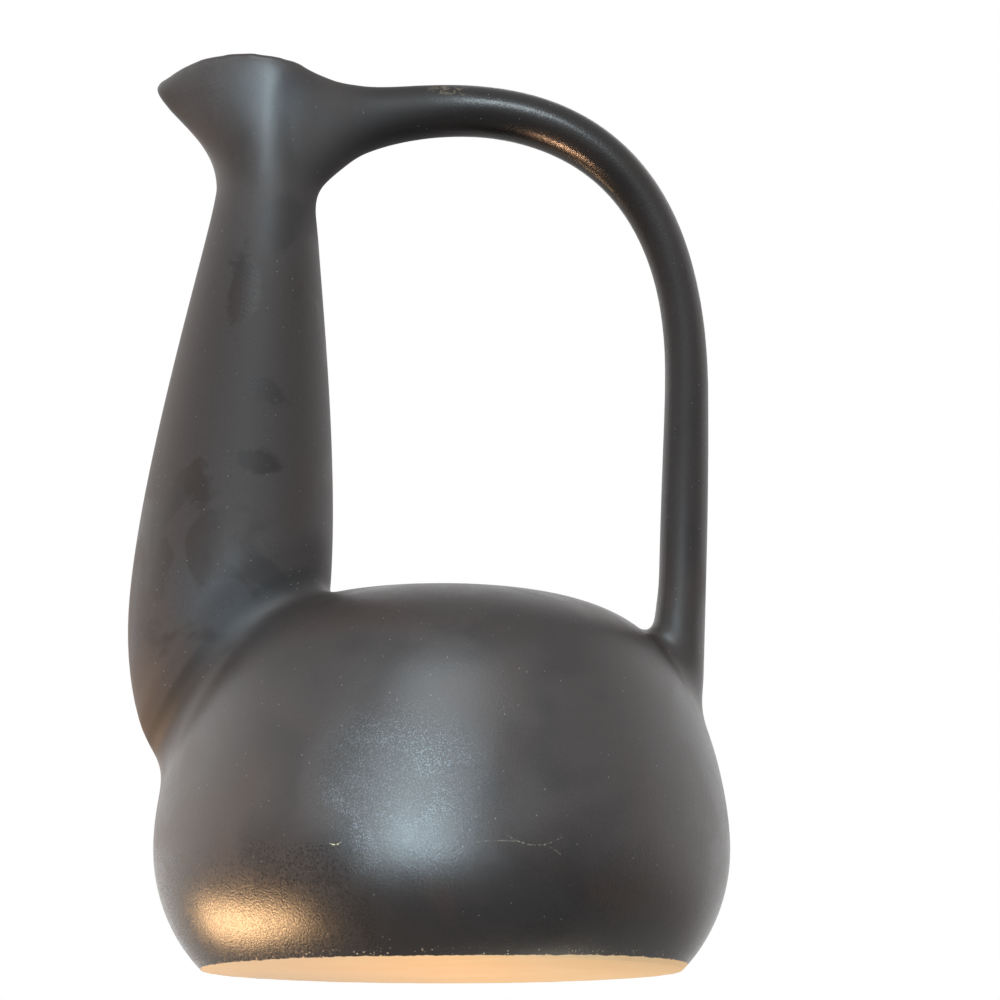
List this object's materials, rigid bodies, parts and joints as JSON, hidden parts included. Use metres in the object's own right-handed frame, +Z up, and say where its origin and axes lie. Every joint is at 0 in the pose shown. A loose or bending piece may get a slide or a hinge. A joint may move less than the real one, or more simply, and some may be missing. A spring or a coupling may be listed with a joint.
{
  "type": "ceramic vase",
  "caption": "Dark-glazed ceramic ewer vase: squat domed body, tapering side neck with a beaked mouth, and a rod handle arching from mouth to shoulder.",
  "frame": {"origin": "centre of the flat underside of the base slab", "axes": "+Z up along the body's axis of revolution, -X towards the beak, +X towards the handle's foot, X and Z in the vase's plane of symmetry"},
  "size_m": [0.2, 0.1912, 0.3045],
  "materials": {
    "dark_glaze": "satin",
    "bare_clay": "matte"
  },
  "bodies": {
    "root": {"base_slab": "bare_clay", "base_luting_coil": "bare_clay", "body_dome": "dark_glaze", "neck_tube": "dark_glaze", "neck_luting_coil": "dark_glaze", "mouth_collar": "dark_glaze", "mouth_luting_coil": "dark_glaze", "handle": "dark_glaze", "handle_root_coil": "dark_glaze", "handle_foot_coil": "dark_glaze"}
  },
  "joints": []
}
